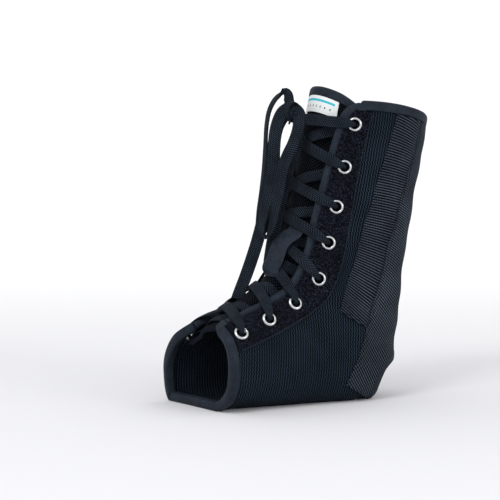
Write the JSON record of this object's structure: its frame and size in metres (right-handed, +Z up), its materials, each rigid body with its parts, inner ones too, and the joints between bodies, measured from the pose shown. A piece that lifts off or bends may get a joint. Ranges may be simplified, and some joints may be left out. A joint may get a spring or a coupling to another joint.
{
  "type": "lace-up ankle brace",
  "caption": "Black lace-up ankle brace with open toe and heel, eyelet facings, stay pockets, padded tongue, folded bindings and a tied flat lace.",
  "frame": {"origin": "on the flat of the sole, midway across the heel line, where the brace rests", "axes": "+Z up along the shaft, -Y to the toes, +X to the inner side of a right foot"},
  "size_m": [0.09, 0.1883, 0.2252],
  "materials": {
    "knit": "matt knitted mesh",
    "elastic": "ribbed elastic",
    "facing_cloth": "brushed cloth",
    "webbing": "ribbed webbing",
    "tape": "smooth folded tape",
    "tongue_knit": "padded knit",
    "label_cloth": "woven label, white with a plain band",
    "satin": "satin tape",
    "eyelet_metal": "nickel, lightly polished",
    "lace_weave": "flat woven lace"
  },
  "bodies": {
    "root": {"body": "knit", "rear_panel": "elastic", "facing_inner": "facing_cloth", "stay_pocket_inner": "webbing", "slot_binding_inner": "tape", "facing_outer": "facing_cloth", "stay_pocket_outer": "webbing", "slot_binding_outer": "tape", "collar_binding": "tape", "toe_binding": "tape", "heel_binding": "tape", "tongue": "tongue_knit", "tongue_binding": "tape", "tongue_label": "label_cloth", "tongue_keeper": "satin", "eyelet_inner_1": "eyelet_metal", "eyelet_inner_2": "eyelet_metal", "eyelet_inner_3": "eyelet_metal", "eyelet_inner_4": "eyelet_metal", "eyelet_inner_5": "eyelet_metal", "eyelet_inner_6": "eyelet_metal", "eyelet_inner_7": "eyelet_metal", "eyelet_inner_8": "eyelet_metal", "eyelet_outer_1": "eyelet_metal", "eyelet_outer_2": "eyelet_metal", "eyelet_outer_3": "eyelet_metal", "eyelet_outer_4": "eyelet_metal", "eyelet_outer_5": "eyelet_metal", "eyelet_outer_6": "eyelet_metal", "eyelet_outer_7": "eyelet_metal", "eyelet_outer_8": "eyelet_metal", "lace_held": "lace_weave", "bow_knot": "lace_weave", "bow_loop_outer": "lace_weave", "bow_loop_inner": "lace_weave", "lace_end_long": "lace_weave", "lace_end_short": "lace_weave"}
  },
  "joints": []
}
